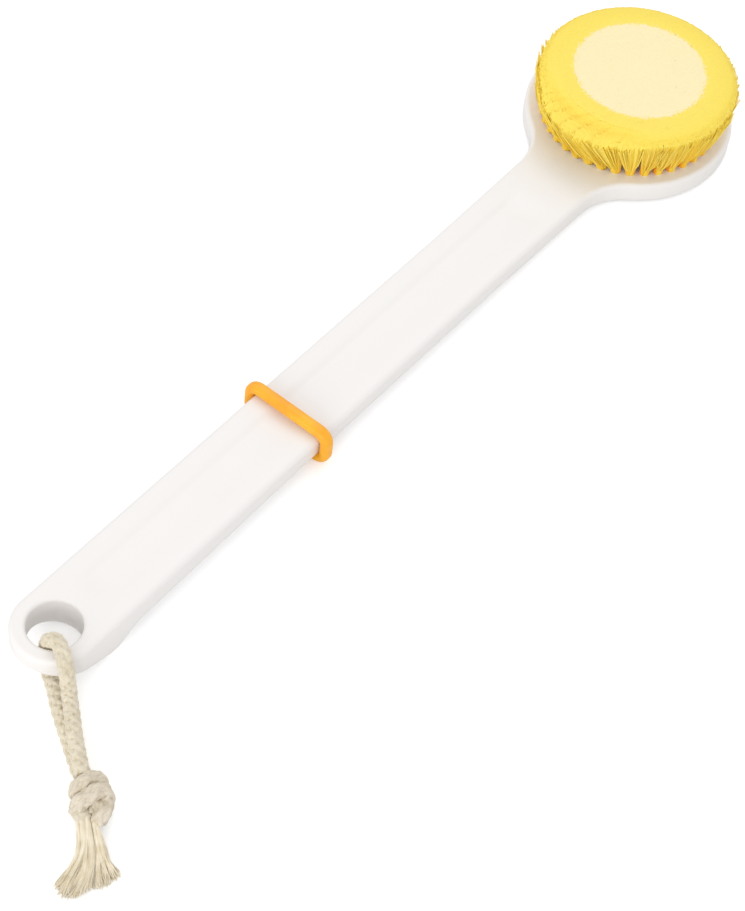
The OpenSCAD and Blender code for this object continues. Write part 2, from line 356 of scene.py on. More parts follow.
def sweep(path, radii, sides):  # a tube with closed ends: its points, its faces and its number of sides
    along, side, up = pathAxes(path)
    turn = np.linspace(0, 2 * np.pi, sides, endpoint=False)
    ring = np.cos(turn)[None, :, None] * side[:, None] + np.sin(turn)[None, :, None] * up[:, None]
    points = (path[:, None] + ring * np.broadcast_to(radii, len(path))[:, None, None]).reshape(-1, 3)
    i, k = np.meshgrid(np.arange(len(path) - 1), np.arange(sides), indexing="ij")
    a, b = i * sides + k, i * sides + (k + 1) % sides
    faces = np.stack([a, b, b + sides, a + sides], axis=-1).reshape(-1, 4).tolist()
    last = (len(path) - 1) * sides
    faces.append(list(range(sides - 1, -1, -1)))
    faces.append([last + k for k in range(sides)])
    return points, faces, sides


def braidTubes(path, at, spec):  # the core of a round braid that follows a path, then its yarns
    along, side, up = pathAxes(path)
    tubes = [sweep(path, spec["coreRadius"], spec["coreSides"])]
    turn = 2 * np.pi * at / spec["braidPitch"]
    for way in (1, -1):
        for k in range(spec["yarns"]):
            angle = way * turn + 2 * np.pi * k / spec["yarns"]
            out = spec["braidRadius"] + way * spec["weave"] * np.cos(spec["yarns"] * turn)
            yarn = path + out[:, None] * (np.cos(angle)[:, None] * side + np.sin(angle)[:, None] * up)
            tubes.append(sweep(yarn, spec["yarnRadius"], spec["yarnSides"]))
    return tubes


def tubeUv(tube, start):  # u runs round a tube, v along it in metres
    points, faces, sides = tube
    gone = distancesAlong(points.reshape(-1, sides, 3).mean(axis=1))
    number = np.arange(len(points))
    return np.stack([(number % sides) / sides, gone[number // sides] * mm + start], axis=1)


def makeRopePiece(name, tubes, material, smooth=True):  # one mesh from many tubes
    faces, offset = [], 0
    for points, tubeFaces, sides in tubes:
        faces += [[i + offset for i in face] for face in tubeFaces]
        offset += len(points)
    piece = meshPiece(name, np.vstack([tube[0] for tube in tubes]) * mm, faces)
    uvs = np.vstack([tubeUv(tube, ropeSpec["fibreShift"] * i) for i, tube in enumerate(tubes)])
    corners = np.zeros(len(piece.data.loops), int)
    piece.data.loops.foreach_get("vertex_index", corners)
    piece.data.uv_layers.new(name="yarn").data.foreach_set("uv", uvs[corners].ravel())
    piece.data.materials.append(material)
    for face in piece.data.polygons:
        face.use_smooth = smooth and len(face.vertices) == 4
    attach(piece, ropeSpec["body"])
    return piece


# The knot is laid out from its middle: across the rope, along it towards the tails, and height.
knotSpec = {
    "middle": (-377.3, -50.6, 0.0),
    "along": (-0.5524, -0.8336),
    "across": (0.8336, -0.5524),
    "wrap": [(-1.0, -3.6, 4.4), (-3.4, -3.2, 5.6), (-3.3, -3.9, 8.0), (-0.6, -4.9, 9.6), (2.6, -5.6, 9.2),
             (4.6, -5.2, 6.6), (4.0, -3.4, 3.6), (0.4, -1.4, 2.9), (-3.4, 0.6, 3.4), (-4.9, 1.8, 5.4),
             (-3.5, 1.3, 8.4), (0.4, 0.0, 9.7), (3.8, -1.4, 9.0), (5.3, -0.6, 6.8), (5.1, 1.6, 5.4),
             (4.2, 3.9, 5.8), (2.7, 5.8, 5.6), (1.0, 7.4, 3.8)],
    "leftLobe": [(0.5, -1.0, 5.0), (-2.2, 0.6, 5.4), (-4.0, 2.0, 5.2), (-3.8, 3.6, 4.4), (-1.6, 4.0, 3.4)],
    "core": [(-0.4, -9.0, 7.0), (-0.6, -6.0, 6.0), (0.4, -2.5, 6.0), (1.5, 0.5, 5.8), (1.6, 2.6, 5.0),
             (0.4, 4.2, 4.0)],
    # the rope is drawn tight here
    "drawn": {"braidPitch": 21.0, "braidRadius": 1.85, "coreRadius": 2.25, "yarnRadius": 1.0, "weave": 0.2},
}


def fromKnot(points):  # the knot's own layout to millimetres in the frame
    spec = knotSpec
    p = np.array(points, float)
    ground = np.outer(p[:, 0], spec["across"]) + np.outer(p[:, 1], spec["along"])
    return np.column_stack([ground, p[:, 2]]) + np.array(spec["middle"])


def makeKnot():
    tubes = []
    for key in ("wrap", "leftLobe", "core"):
        path, at = smoothRoute(fromKnot(knotSpec[key]), ropeSpec["step"])
        tubes += braidTubes(path, at, dict(ropeSpec, **knotSpec["drawn"]))
    # the knot gets the cotton with painted shade
    piece = makeRopePiece("ropeKnot", tubes, knotShadedCotton)
    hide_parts("rope_knot")
    return piece


# Past the knot the yarns are opened out and lie in a fan, laid out as the knot is.
fraySpec = {
    # where each end leaves the knot, and where its fan ends at its left, middle and right
    "left": {"root": (-3.8, 3.6, 4.0), "fan": [(-16.2, 25.4), (-14.6, 29.4), (-9.8, 30.2)]},
    "right": {"root": (-1.0, 3.8, 4.2), "fan": [(-8.8, 30.0), (-4.4, 29.2), (4.0, 27.2)]},
    "yarns": 7,
    "rings": 9,                   # along each yarn and each fibre
    "rootRadius": 1.7,            # a yarn starts up to this far from the root,
    "rootOval": (0.5, 0.5, 0.55),     # times these, across, back and up
    "rootWidth": 2.4,             # the yarns are spread over this width there
    # the handles of a yarn's curve: a share of its way across, then along and up
    "leaving": (0.02, 13.0, -0.2),
    "arriving": (-0.6, -7.0, 0.9),
    "endShorter": 3.2,            # how much shorter a yarn may be
    "endLow": 0.7,                # its end lies this high, and up to so much above that
    "endHigher": 1.5,
    "wave": 0.7,                  # how far a yarn waves from side to side
    "waveTurn": 7,                # in radians over its length
    "lockRadius": 0.7,            # what fills a yarn, and how it tapers
    "lockTaper": (1.2, 0.9),
    "lockRings": 8,
    "lockSides": 6,
    "fibres": 50,
    "fibreRadius": 0.17,
    "fibreSides": 3,
    "fibreTurn": 3.5,             # how far a fibre winds round its yarn, in radians
    "yarnRadius": 0.75,
    "yarnOpens": 0.4,             # the share by which it is wider at its end
    "yarnFlat": 0.8,              # a yarn is this high for its width
    "strayAcross": 0.8,
    "strayAlong": 0.7,
    "floor": 0.2,                 # no fibre's middle lies lower
}


def yarnLine(mine, share, t, rng):  # the middle line of one opened yarn, at a share of the fan's width
    spec = fraySpec
    fan = np.array(mine["fan"])
    farX, farY = [np.interp(share * 2, [0, 1, 2], fan[:, k]) for k in range(2)]
    turn, out = rng.random() * randomTurn, math.sqrt(rng.random()) * spec["rootRadius"]
    wide, deep, high = spec["rootOval"]
    start = np.array(mine["root"]) + [(share - 0.5) * spec["rootWidth"] + wide * out * math.cos(turn),
                                      -out * deep, out * high * math.sin(turn)]
    end = np.array([farX, farY - rng.random() * spec["endShorter"],
                    spec["endLow"] + spec["endHigher"] * rng.random() ** 2])
    aside = np.array([farX - start[0], 1, 1])
    first = start + spec["leaving"] * aside
    second = end + spec["arriving"] * aside
    line = (1 - t) ** 3 * start + 3 * (1 - t) ** 2 * t * first + 3 * (1 - t) * t * t * second + t ** 3 * end
    line[:, 0] += spec["wave"] * np.sin(t[:, 0] * spec["waveTurn"] + rng.random() * randomTurn) * t[:, 0]
    return line


def makeFray(side, node, seed):
    spec = fraySpec
    rng = np.random.default_rng(seed)
    tubes = []
    gone = np.linspace(0, 1, spec["rings"])
    for j in range(spec["yarns"]):
        line = yarnLine(spec[side], (j + rng.random()) / spec["yarns"], gone[:, None], rng)
        radii = spec["lockRadius"] * np.linspace(*spec["lockTaper"], spec["lockRings"])
        tubes.append(sweep(fromKnot(line[:spec["lockRings"]]), radii, spec["lockSides"]))
        for i in range(spec["fibres"]):
            phase = rng.random() * randomTurn + gone * spec["fibreTurn"]
            wide = math.sqrt(rng.random()) * spec["yarnRadius"] * (1 + spec["yarnOpens"] * gone ** 2)
            fibre = line.copy()
            fibre[:, 0] += wide * np.cos(phase) + gone ** 3 * rng.normal(0, spec["strayAcross"])
            fibre[:, 1] += gone ** 3 * rng.normal(0, spec["strayAlong"])
            fibre[:, 2] += spec["yarnFlat"] * wide * np.sin(phase)
            fibre[:, 2] = np.maximum(fibre[:, 2], spec["floor"])
            tubes.append(sweep(fromKnot(fibre), spec["fibreRadius"], spec["fibreSides"]))
    piece = makeRopePiece("frayedEnd" + side.title(), tubes, combedCotton, smooth=False)
    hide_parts(node)
    return piece


def makeStrand(name, route, node):
    path, at = smoothRoute(route, ropeSpec["step"])
    piece = makeRopePiece(name, braidTubes(path, at, ropeSpec), braidedCotton)
    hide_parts(node)


knot = makeKnot()
frayLeft = makeFray("left", "frayed_end_left", 5)
frayRight = makeFray("right", "frayed_end_right", 6)
makeStrand("ropeFrontStrand", frontRoute, "rope_front_strand")
makeStrand("ropeBackStrand", backRoute, "rope_back_strand")

tuftSpec = {
    "deck": 10.0,
    "height": 23.0,
    "rows": 6,                # round the tuft in the middle
    "yellowRows": 2,
    "outerRow": 36.2,
    "rowPitch": 6.0,
    "tuftPitch": 5.7,
    # where each row's tips stand, from the outer edge inwards, as drawn out by the trimming
    "tipEdges": [40.4, 34.2, 27.3, 20.7, 14.3, 8.3, 2.9],
    "filaments": 240,
    "spiral": 2.39996,        # radians from one filament to the next, which fills a round evenly
    "rootRadius": 1.7,
    "filamentAtRoot": 0.28,
    "filamentAtTip": 0.48,
    "levels": (0.5,),         # where a filament can bend, as shares of its length
    "outerLevels": (0.2, 0.5),
    # inside each tuft a few thick bundles stand for the filaments that are packed too close to see
    "bundlesAcross": 6,
    "bundleSpread": 0.8,      # how far out they stand, as a share of half the tuft's width
    "bundleRoot": 0.75,       # and in the root, as a share of that
    "bundleAtRoot": 0.42,
    "bundleAtTip": 1.25,
    "bundleLower": 0.04,
    "sink": 2.0,              # how far down its hole a filament starts
    "straightTo": 0.2,        # the share of its length that a tuft keeps its root's width
    "opening": 1.7,           # above that, how soon it opens
    "leaning": 1.2,           # and how evenly it leans
    "overlap": 1.02,          # a tuft's top is this much wider than its share of the row
    "uneven": 0.02,
    "stray": 0.3,
    "strayMixed": 2.0,        # times as much where the two colours meet
    "strayOutward": 0.6,      # and elsewhere
    "strayAround": 0.6,
    "mixedWithin": 0.8,
    "nearMiddle": 4.0,        # the angle that a tip strays grows no more from here inwards
    # some filaments at the outside of the head stand away from it
    "wildFrom": 0.45,         # from this far out in their tuft
    "wildShare": 0.5,
    "wildReach": 2.4,
    "wildAround": 0.8,
    "wildAtTip": 0.17,
    "combed": (0.0, -1.0),    # all the tips lie a little to one side
    # how the top is trimmed: each drop starts this far from the middle, and is full at the rim;
    # the last takes the place of the others where the tufts are pushed
    "crown": {"start": 30.5, "reach": 11, "drop": 1.8, "power": 2},
    "rounding": {"start": 37.6, "reach": 4, "drop": 1.0, "power": 2},
    "pushedFall": {"start": 32.5, "reach": 10, "drop": 4.8, "power": 1.6},
    # tufts near the neck are pushed out and along by use, up to a parting (degrees round the head)
    "pushedFrom": 125.0,
    "pushedOver": 60,
    "parting": 212.0,
    "partingOver": 34,
    "pushedAlong": 12.0,
    "pushedOut": 1.0,
    "pushedUneven": 0.015,
    "pushedInside": 0.2,      # how much of it the inside of the row takes
    "openedThicker": 0.8,     # how much thicker the tips are where tufts are drawn apart
    "openedBundle": 0.3,      # the share of that for a bundle
    "pushedThicker": 0.45,    # and how much where they are pushed
    "furrow": 0.6,            # the dip behind them, its place in the row and its width
    "furrowAt": -0.1,
    "furrowWidth": 0.5,
    # the outermost filaments of the head end at different heights
    "ragged": 2.4,
    "raggedFrom": 0.2,
    "raggedPushed": 0.6,      # how much less where they are pushed
    "raggedBundle": 0.15,
    # painted light and shade: a filament on the outside of the head gets light down to its root, the inner
    # ones don't, so their lower parts and the furrow are painted deeper
    "litSpread": 0.4,
    "litPushed": 0.8,
    "litPushedFrom": -0.2,
    "litAtRoot": 0.55,
    "litRise": 0.45,
    "unlitPower": 1.5,
    "furrowPaintedShade": 0.35,
}


def rowOf(row):  # a row's radius and its number of tufts
    radius = tuftSpec["outerRow"] - row * tuftSpec["rowPitch"]
    return radius, round(2 * math.pi * radius / tuftSpec["tuftPitch"])


# Sizes in millimetres, laid out level; the handle is then raised a little about the neck.
handleSpec = {
    "headRadius": 43.5,
    "deck": 10.0,
    "length": 400.0,
    "neckWidth": 32.8,
    "shaftWidth": 31.4,
    "evenFrom": -112.0,       # the shaft is parallel from here to the round end
    "filletRadius": 25.0,
    "holeRadius": 9.8,
    "topRound": 2.0,
    "underRound": 1.2,
    "holeRound": 1.4,
    "holeUnderRound": 0.7,    # times as much under the handle
    "sharpFrom": 50,          # degrees: what counts as an edge to round
    "smoothTo": 32,           # and what is shaded as one surface
    "channelFromNeck": 12,
    "channelFromHole": 14,    # counted from the hole's middle
    "channelFarWall": (4.6, 8.8),     # where each side wall starts and ends, out from the middle
    "channelNearWall": (1.0, 13.0),
    "channelWallCuts": 6,
    "channelDepth": 1.0,
    "channelFade": 12.0,
    "channelFadeSteps": 4,
    "rise": 1.2,              # degrees
    "crownRest": 20.0,
    "crownRim": 41.8,
    "crownDepth": 0.88,
    "crownInto": 1.2,         # how far it runs on into the head
    "tuftHoleRadius": 1.8,
    "tuftHoleDepth": 6.5,
    "drillProud": 2,          # how far a drill stands above the deck
    "underside": [(-40.0, 0.9), (-52.0, 1.4), (-228.5, 1.4), (-330.0, -1.34)],  # place along it and height
    "heelStart": -314.5,
    "heelFull": -327.0,
    "heelCuts": 13,
    "heelEdge": -329.4,
    "heel": -5.75,
    "tipSlope": 0.31,
}


def selectWhere(piece, kind, test, among=None):  # selects a piece's vertices, edges or faces by their place
    bpy.ops.object.mode_set(mode="OBJECT")
    mesh = piece.data
    for group in (mesh.vertices, mesh.edges, mesh.polygons):
        group.foreach_set("select", [False] * len(group))
    for item in getattr(mesh, kind):
        corners = [item.index] if kind == "vertices" else item.vertices
        inside = among is None or item.index in among
        item.select = bool(inside and test([mesh.vertices[i].co / mm for i in corners]))
    bpy.ops.object.mode_set(mode="EDIT")
    bpy.ops.mesh.select_mode(type={"vertices": "VERT", "edges": "EDGE", "polygons": "FACE"}[kind])


def bevelSharp(piece, test, width, segments):  # rounds the sharp edges that stand at a place
    makeActive(piece)
    bpy.ops.object.mode_set(mode="EDIT")
    bpy.ops.mesh.select_mode(type="EDGE")
    bpy.ops.mesh.select_all(action="DESELECT")
    bpy.ops.mesh.edges_select_sharp(sharpness=math.radians(handleSpec["sharpFrom"]))
    bpy.ops.object.mode_set(mode="OBJECT")
    sharp = {edge.index for edge in piece.data.edges if edge.select}
    selectWhere(piece, "edges", lambda v: all(test(c) for c in v), sharp)
    bpy.ops.mesh.bevel(offset=width * mm, segments=segments, profile=0.5, affect="EDGES")
    bpy.ops.object.mode_set(mode="OBJECT")


def makeTuftDrills():  # one drill, copied to every tuft's place
    spec = handleSpec
    depth, proud = spec["tuftHoleDepth"], spec["drillProud"]
    deselectAll()
    bpy.ops.mesh.primitive_cylinder_add(vertices=20, radius=spec["tuftHoleRadius"] * mm,
                                        depth=(depth + proud) * mm,
                                        location=(0, 0, (spec["deck"] - depth / 2 + proud / 2) * mm))
    drill = bpy.context.object
    settle(drill)
    copies = [drill]
    for row in range(tuftSpec["rows"]):
        radius, tufts = rowOf(row)
        for i in range(tufts):
            copy = bpy.data.objects.new("drill", drill.data.copy())
            bpy.context.collection.objects.link(copy)
            turn = 2 * math.pi * i / tufts
            copy.location = (radius * mm * math.cos(turn), radius * mm * math.sin(turn), 0)
            copies.append(copy)
    deselectAll()
    for copy in copies:
        copy.select_set(True)
    bpy.context.view_layer.objects.active = drill
    bpy.ops.object.join()
    settle(drill)
    return drill


def undersideAt(x):  # height of the underside before the handle is raised
    spec = handleSpec
    stations = np.array(spec["underside"][::-1])
    shaft = float(np.interp(x, stations[:, 0], stations[:, 1]))
    step = min(max((x - spec["heelStart"]) / (spec["heelFull"] - spec["heelStart"]), 0), 1)
    low = shaft + (spec["heel"] - shaft) * smoothStep(step)
    return low if x > spec["heelEdge"] else spec["heel"] + (spec["heelEdge"] - x) * spec["tipSlope"]


def drawOutline(piece, neck, endX):
    # half of the outline, drawn from the head round to the tip (a spin turns clockwise here)
    spec = handleSpec
    halfNeck, half = spec["neckWidth"] / 2, spec["shaftWidth"] / 2
    filletY = halfNeck + spec["filletRadius"]
    reach = math.degrees(math.atan2(-neck, filletY))  # how far the fillet turns
    top = spec["deck"]
    bpy.ops.object.mode_set(mode="EDIT")
    bpy.ops.mesh.spin(steps=64, angle=math.radians(90 + reach), center=(0, 0, top * mm), axis=(0, 0, 1))
    bpy.ops.mesh.spin(steps=18, angle=-math.radians(reach), center=(neck * mm, -filletY * mm, top * mm),
                      axis=(0, 0, 1))
    bpy.ops.mesh.extrude_region_move(
        TRANSFORM_OT_translate={"value": ((spec["evenFrom"] - neck) * mm, (halfNeck - half) * mm, 0)})
    bpy.ops.mesh.extrude_region_move(TRANSFORM_OT_translate={"value": ((endX - spec["evenFrom"]) * mm, 0, 0)})
    bpy.ops.mesh.spin(steps=32, angle=math.radians(90), center=(endX * mm, 0, top * mm), axis=(0, 0, 1))
    bpy.ops.object.mode_set(mode="OBJECT")
    merging = 0.02 * mm
    applyModifier(piece, "MIRROR", use_axis=(False, True, False), merge_threshold=merging)
    bpy.ops.object.mode_set(mode="EDIT")
    bpy.ops.mesh.select_all(action="SELECT")
    bpy.ops.mesh.remove_doubles(threshold=merging)
    bpy.ops.mesh.edge_face_add()


def cutCrosswise(x):  # across all that is selected
    bpy.ops.mesh.bisect(plane_co=(x * mm, 0, handleSpec["deck"] * mm), plane_no=(1, 0, 0))


def shapeHeights(piece, channelStart, channelEnd):  # the underside, and the channel in the top
    spec = handleSpec
    for vertex in piece.data.vertices:
        x, y, z = vertex.co / mm
        if z < spec["deck"] - 1:
            vertex.co.z = undersideAt(x) * mm
        else:
            fade = np.clip(min(channelStart - x, x - channelEnd) / spec["channelFade"], 0, 1)
            inner, outer = spec["channelFarWall"] if y > 0 else spec["channelNearWall"]
            wall = np.clip((abs(y) - inner) / (outer - inner), 0, 1)
            vertex.co.z -= spec["channelDepth"] * (1 - smoothStep(wall)) * smoothStep(fade) * mm


def addCrown(piece):  # the head's back is a low crown, flat in the middle where it rests
    spec = handleSpec
    depth = spec["crownDepth"]
    deselectAll()
    bpy.ops.mesh.primitive_cone_add(vertices=128, radius1=spec["crownRest"] * mm,
                                    radius2=spec["crownRim"] * mm, depth=depth * mm,
                                    location=(0, 0, depth / 2 * mm))
    crown = bpy.context.object
    settle(crown)
    selectWhere(crown, "polygons", lambda v: all(c.z > depth / 2 for c in v))
    bpy.ops.mesh.extrude_region_move(TRANSFORM_OT_translate={"value": (0, 0, spec["crownInto"] * mm)})
    bpy.ops.object.mode_set(mode="OBJECT")
    cutWith(piece, crown, "UNION")


def makeHandle():
    spec = handleSpec
    top, head = spec["deck"], spec["headRadius"]
    halfUp = top / 2
    slack = 0.05  # in mm: a point this near to a place is at that place
    fillet = spec["filletRadius"]
    neck = -math.sqrt((head + fillet) ** 2 - (spec["neckWidth"] / 2 + fillet) ** 2)
    endX = head + spec["shaftWidth"] / 2 - spec["length"]
    channelStart, channelEnd = neck - spec["channelFromNeck"], endX + spec["channelFromHole"]
    deselectAll()
    bpy.ops.mesh.primitive_plane_add(size=mm, location=(head * mm, 0, top * mm))
    piece = bpy.context.object
    piece.name = "handleBody"
    bpy.ops.object.mode_set(mode="EDIT")
    bpy.ops.mesh.merge(type="CENTER")
    bpy.ops.object.mode_set(mode="OBJECT")
    settle(piece)
    drawOutline(piece, neck, endX)
    # crosswise cuts at the neck and where the channel runs out
    cuts = [neck]
    for i in range(spec["channelFadeSteps"] + 1):
        inward = spec["channelFade"] * i / spec["channelFadeSteps"]
        cuts += [channelStart - inward, channelEnd + inward]
    for x in cuts:
        bpy.ops.mesh.select_all(action="SELECT")
        cutCrosswise(x)

    def inChannel(v):
        return all(channelEnd - slack <= c.x <= channelStart + slack for c in v)

    # lengthwise cuts across the channel
    wallCuts = spec["channelWallCuts"]
    farCuts = np.linspace(*spec["channelFarWall"], wallCuts)
    nearCuts = -np.linspace(*spec["channelNearWall"], wallCuts)
    selectWhere(piece, "polygons", inChannel)
    for y in [*farCuts, 0.0, *nearCuts]:
        bpy.ops.mesh.bisect(plane_co=(0, y * mm, top * mm), plane_no=(0, 1, 0))
        selectWhere(piece, "polygons", inChannel)
    # a block first, whose underside gets its own heights below
    bpy.ops.mesh.select_all(action="SELECT")
    bpy.ops.mesh.extrude_region_move(TRANSFORM_OT_translate={"value": (0, 0, -halfUp * mm)})
    bpy.ops.mesh.select_all(action="SELECT")
    bpy.ops.mesh.normals_make_consistent(inside=False)
    # crosswise cuts on the underside, close together over the heel
    cuts = [x for x, z in spec["underside"][:3]] + [spec["heelEdge"]]
    cuts += list(np.linspace(spec["heelStart"], spec["heelFull"], spec["heelCuts"]))
    for x in cuts:
        selectWhere(piece, "polygons", lambda v: all(c.z < top - 1 for c in v))
        cutCrosswise(x)
    bpy.ops.object.mode_set(mode="OBJECT")
    shapeHeights(piece, channelStart, channelEnd)
    # rounded edges, then the hanging hole with its own
    bevelSharp(piece, lambda c: c.z > halfUp, spec["topRound"], 5)
    bevelSharp(piece, lambda c: c.z < halfUp, spec["underRound"], 4)
    deselectAll()
    bpy.ops.mesh.primitive_cylinder_add(vertices=72, radius=spec["holeRadius"] * mm, depth=40 * mm,
                                        location=(endX * mm, 0, 0))
    cutWith(piece, bpy.context.object)

    def atHole(c):
        return math.hypot(c.x - endX, c.y) < spec["holeRadius"] + slack

    bevelSharp(piece, lambda c: atHole(c) and c.z > halfUp, spec["holeRound"], 4)
    bevelSharp(piece, lambda c: atHole(c) and c.z < halfUp, spec["holeRound"] * spec["holeUnderRound"], 4)
    addCrown(piece)
    cutWith(piece, makeTuftDrills())
    # raise the handle about the neck
    selectWhere(piece, "vertices", lambda v: v[0].x < neck - slack)
    bpy.ops.transform.rotate(value=-math.radians(spec["rise"]), orient_axis="Y",
                             center_override=(neck * mm, 0, top * mm))
    bpy.ops.object.mode_set(mode="OBJECT")
    makeActive(piece)
    bpy.ops.object.shade_smooth_by_angle(angle=math.radians(spec["smoothTo"]))
    applyModifier(piece, "WEIGHTED_NORMAL", keep_sharp=True, weight=70)
    piece.data.materials.clear()
    piece.data.materials.append(whitePlastic)
    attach(piece, "brush")
    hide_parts("handle_body")


makeHandle()
print("handle shaped")


def makeFilament(levels):  # one filament from z 0 to 1, cut across at its levels: its corners and faces
    deselectAll()
    bpy.ops.mesh.primitive_cylinder_add(vertices=3, radius=1, depth=1, location=(0, 0, 0.5))
    piece = bpy.context.object
    settle(piece)
    bpy.ops.object.mode_set(mode="EDIT")
    for level in levels:
        bpy.ops.mesh.select_all(action="SELECT")
        bpy.ops.mesh.bisect(plane_co=(0, 0, level), plane_no=(0, 0, 1))
    bpy.ops.object.mode_set(mode="OBJECT")
    corners = np.array([vertex.co for vertex in piece.data.vertices])
    faces = [list(face.vertices) for face in piece.data.polygons]
    bpy.data.objects.remove(piece)
    return corners, faces


def plantStrands(count, rng):
    # each strand's spot in its tuft's round root (u, v), and in the tuft's square share of the top (s, t)
    spec = tuftSpec
    each, wide, spread = spec["filaments"], spec["bundlesAcross"], spec["bundleSpread"]
    order = np.maximum(np.arange(each) - wide ** 2, 0)
    spot = np.tile((order + 0.5) / (each - wide ** 2), count)
    turn = np.tile(order * spec["spiral"], count) + np.repeat(rng.random(count) * randomTurn, each)
    u, v = np.sqrt(spot) * np.cos(turn), np.sqrt(spot) * np.sin(turn)
    # the round is drawn out to a square
    flat = abs(u) >= abs(v)
    most, least = np.where(flat, u, v), np.where(flat, v, u)
    reach = np.sign(most) * np.sqrt(spot)
    aside = reach * 4 / math.pi * np.arctan(least / most)
    s, t = np.where(flat, reach, aside), np.where(flat, aside, reach)
    # the bundles stand in a square of their own
    bundle = np.tile(np.arange(each) < wide ** 2, count)
    place = np.tile(np.arange(each) % wide ** 2, count)
    s = np.where(bundle, (place % wide) * (2 * spread) / (wide - 1) - spread, s)
    t = np.where(bundle, (place // wide) * (2 * spread) / (wide - 1) - spread, t)
    u = np.where(bundle, s * spec["bundleRoot"], u)
    v = np.where(bundle, t * spec["bundleRoot"], v)
    return u, v, s, t, bundle


def placeTips(count, inner, outer, outermost, strands, rng):  # where the strands end, and which are wild
    spec = tuftSpec
    u, v, s, t, bundle = strands
    total = len(s)
    radius = (inner + outer) / 2 + s * (outer - inner) / 2
    mixed = abs(radius - spec["tipEdges"][spec["yellowRows"]]) < spec["mixedWithin"]
    radius += (rng.normal(0, 1, total) * spec["stray"]
               * np.where(mixed, spec["strayMixed"], spec["strayOutward"]) * ~bundle)
    angle = t * math.pi / count * spec["overlap"]
    aside = rng.normal(0, spec["strayAround"] * spec["stray"], total)
    angle += aside / np.maximum(radius, spec["nearMiddle"])
    wild = (rng.random(total) < spec["wildShare"]) * outermost * (s > spec["wildFrom"]) * ~bundle
    radius += wild * rng.random(total) * spec["wildReach"]
    angle += wild * rng.normal(0, spec["wildAround"], total) / spec["outerRow"]
    if count == 1:  # the tuft in the middle keeps the round of its root
        return np.stack([u * outer, v * outer], axis=1), wild
    return np.stack([radius * np.cos(angle), radius * np.sin(angle)], axis=1), wild


def pushStrands(count, turn, outermost, strands, rng):  # where the tufts are pushed, and how far
    spec = tuftSpec
    s, t = strands[2:4]
    around = np.degrees(turn) % 360 + t * 180 / count
    push = np.clip((around - spec["pushedFrom"]) / spec["pushedOver"], 0, 1)
    push = push * np.clip((spec["parting"] - around) / spec["partingOver"] + 0.5, 0, 1)
    zone = smoothStep(push) * outermost
    # most at the outside of the row
    outside = 0.5 + 0.5 * np.clip(s, -1, 1)
    along = zone * (1 + spec["pushedUneven"] * rng.normal(0, 1, len(s)))
    along = along * (spec["pushedInside"] + (1 - spec["pushedInside"]) * outside)
    return zone, np.stack([zone * outside ** 2 * spec["pushedOut"], -along * spec["pushedAlong"]], axis=1)


def dropAt(out, trim):  # how much lower the trimmed top is, this far from the middle
    beyond = np.clip(out - trim["start"], 0, trim["reach"])
    return trim["drop"] * (beyond / (tuftSpec["tipEdges"][0] - trim["start"])) ** trim["power"]


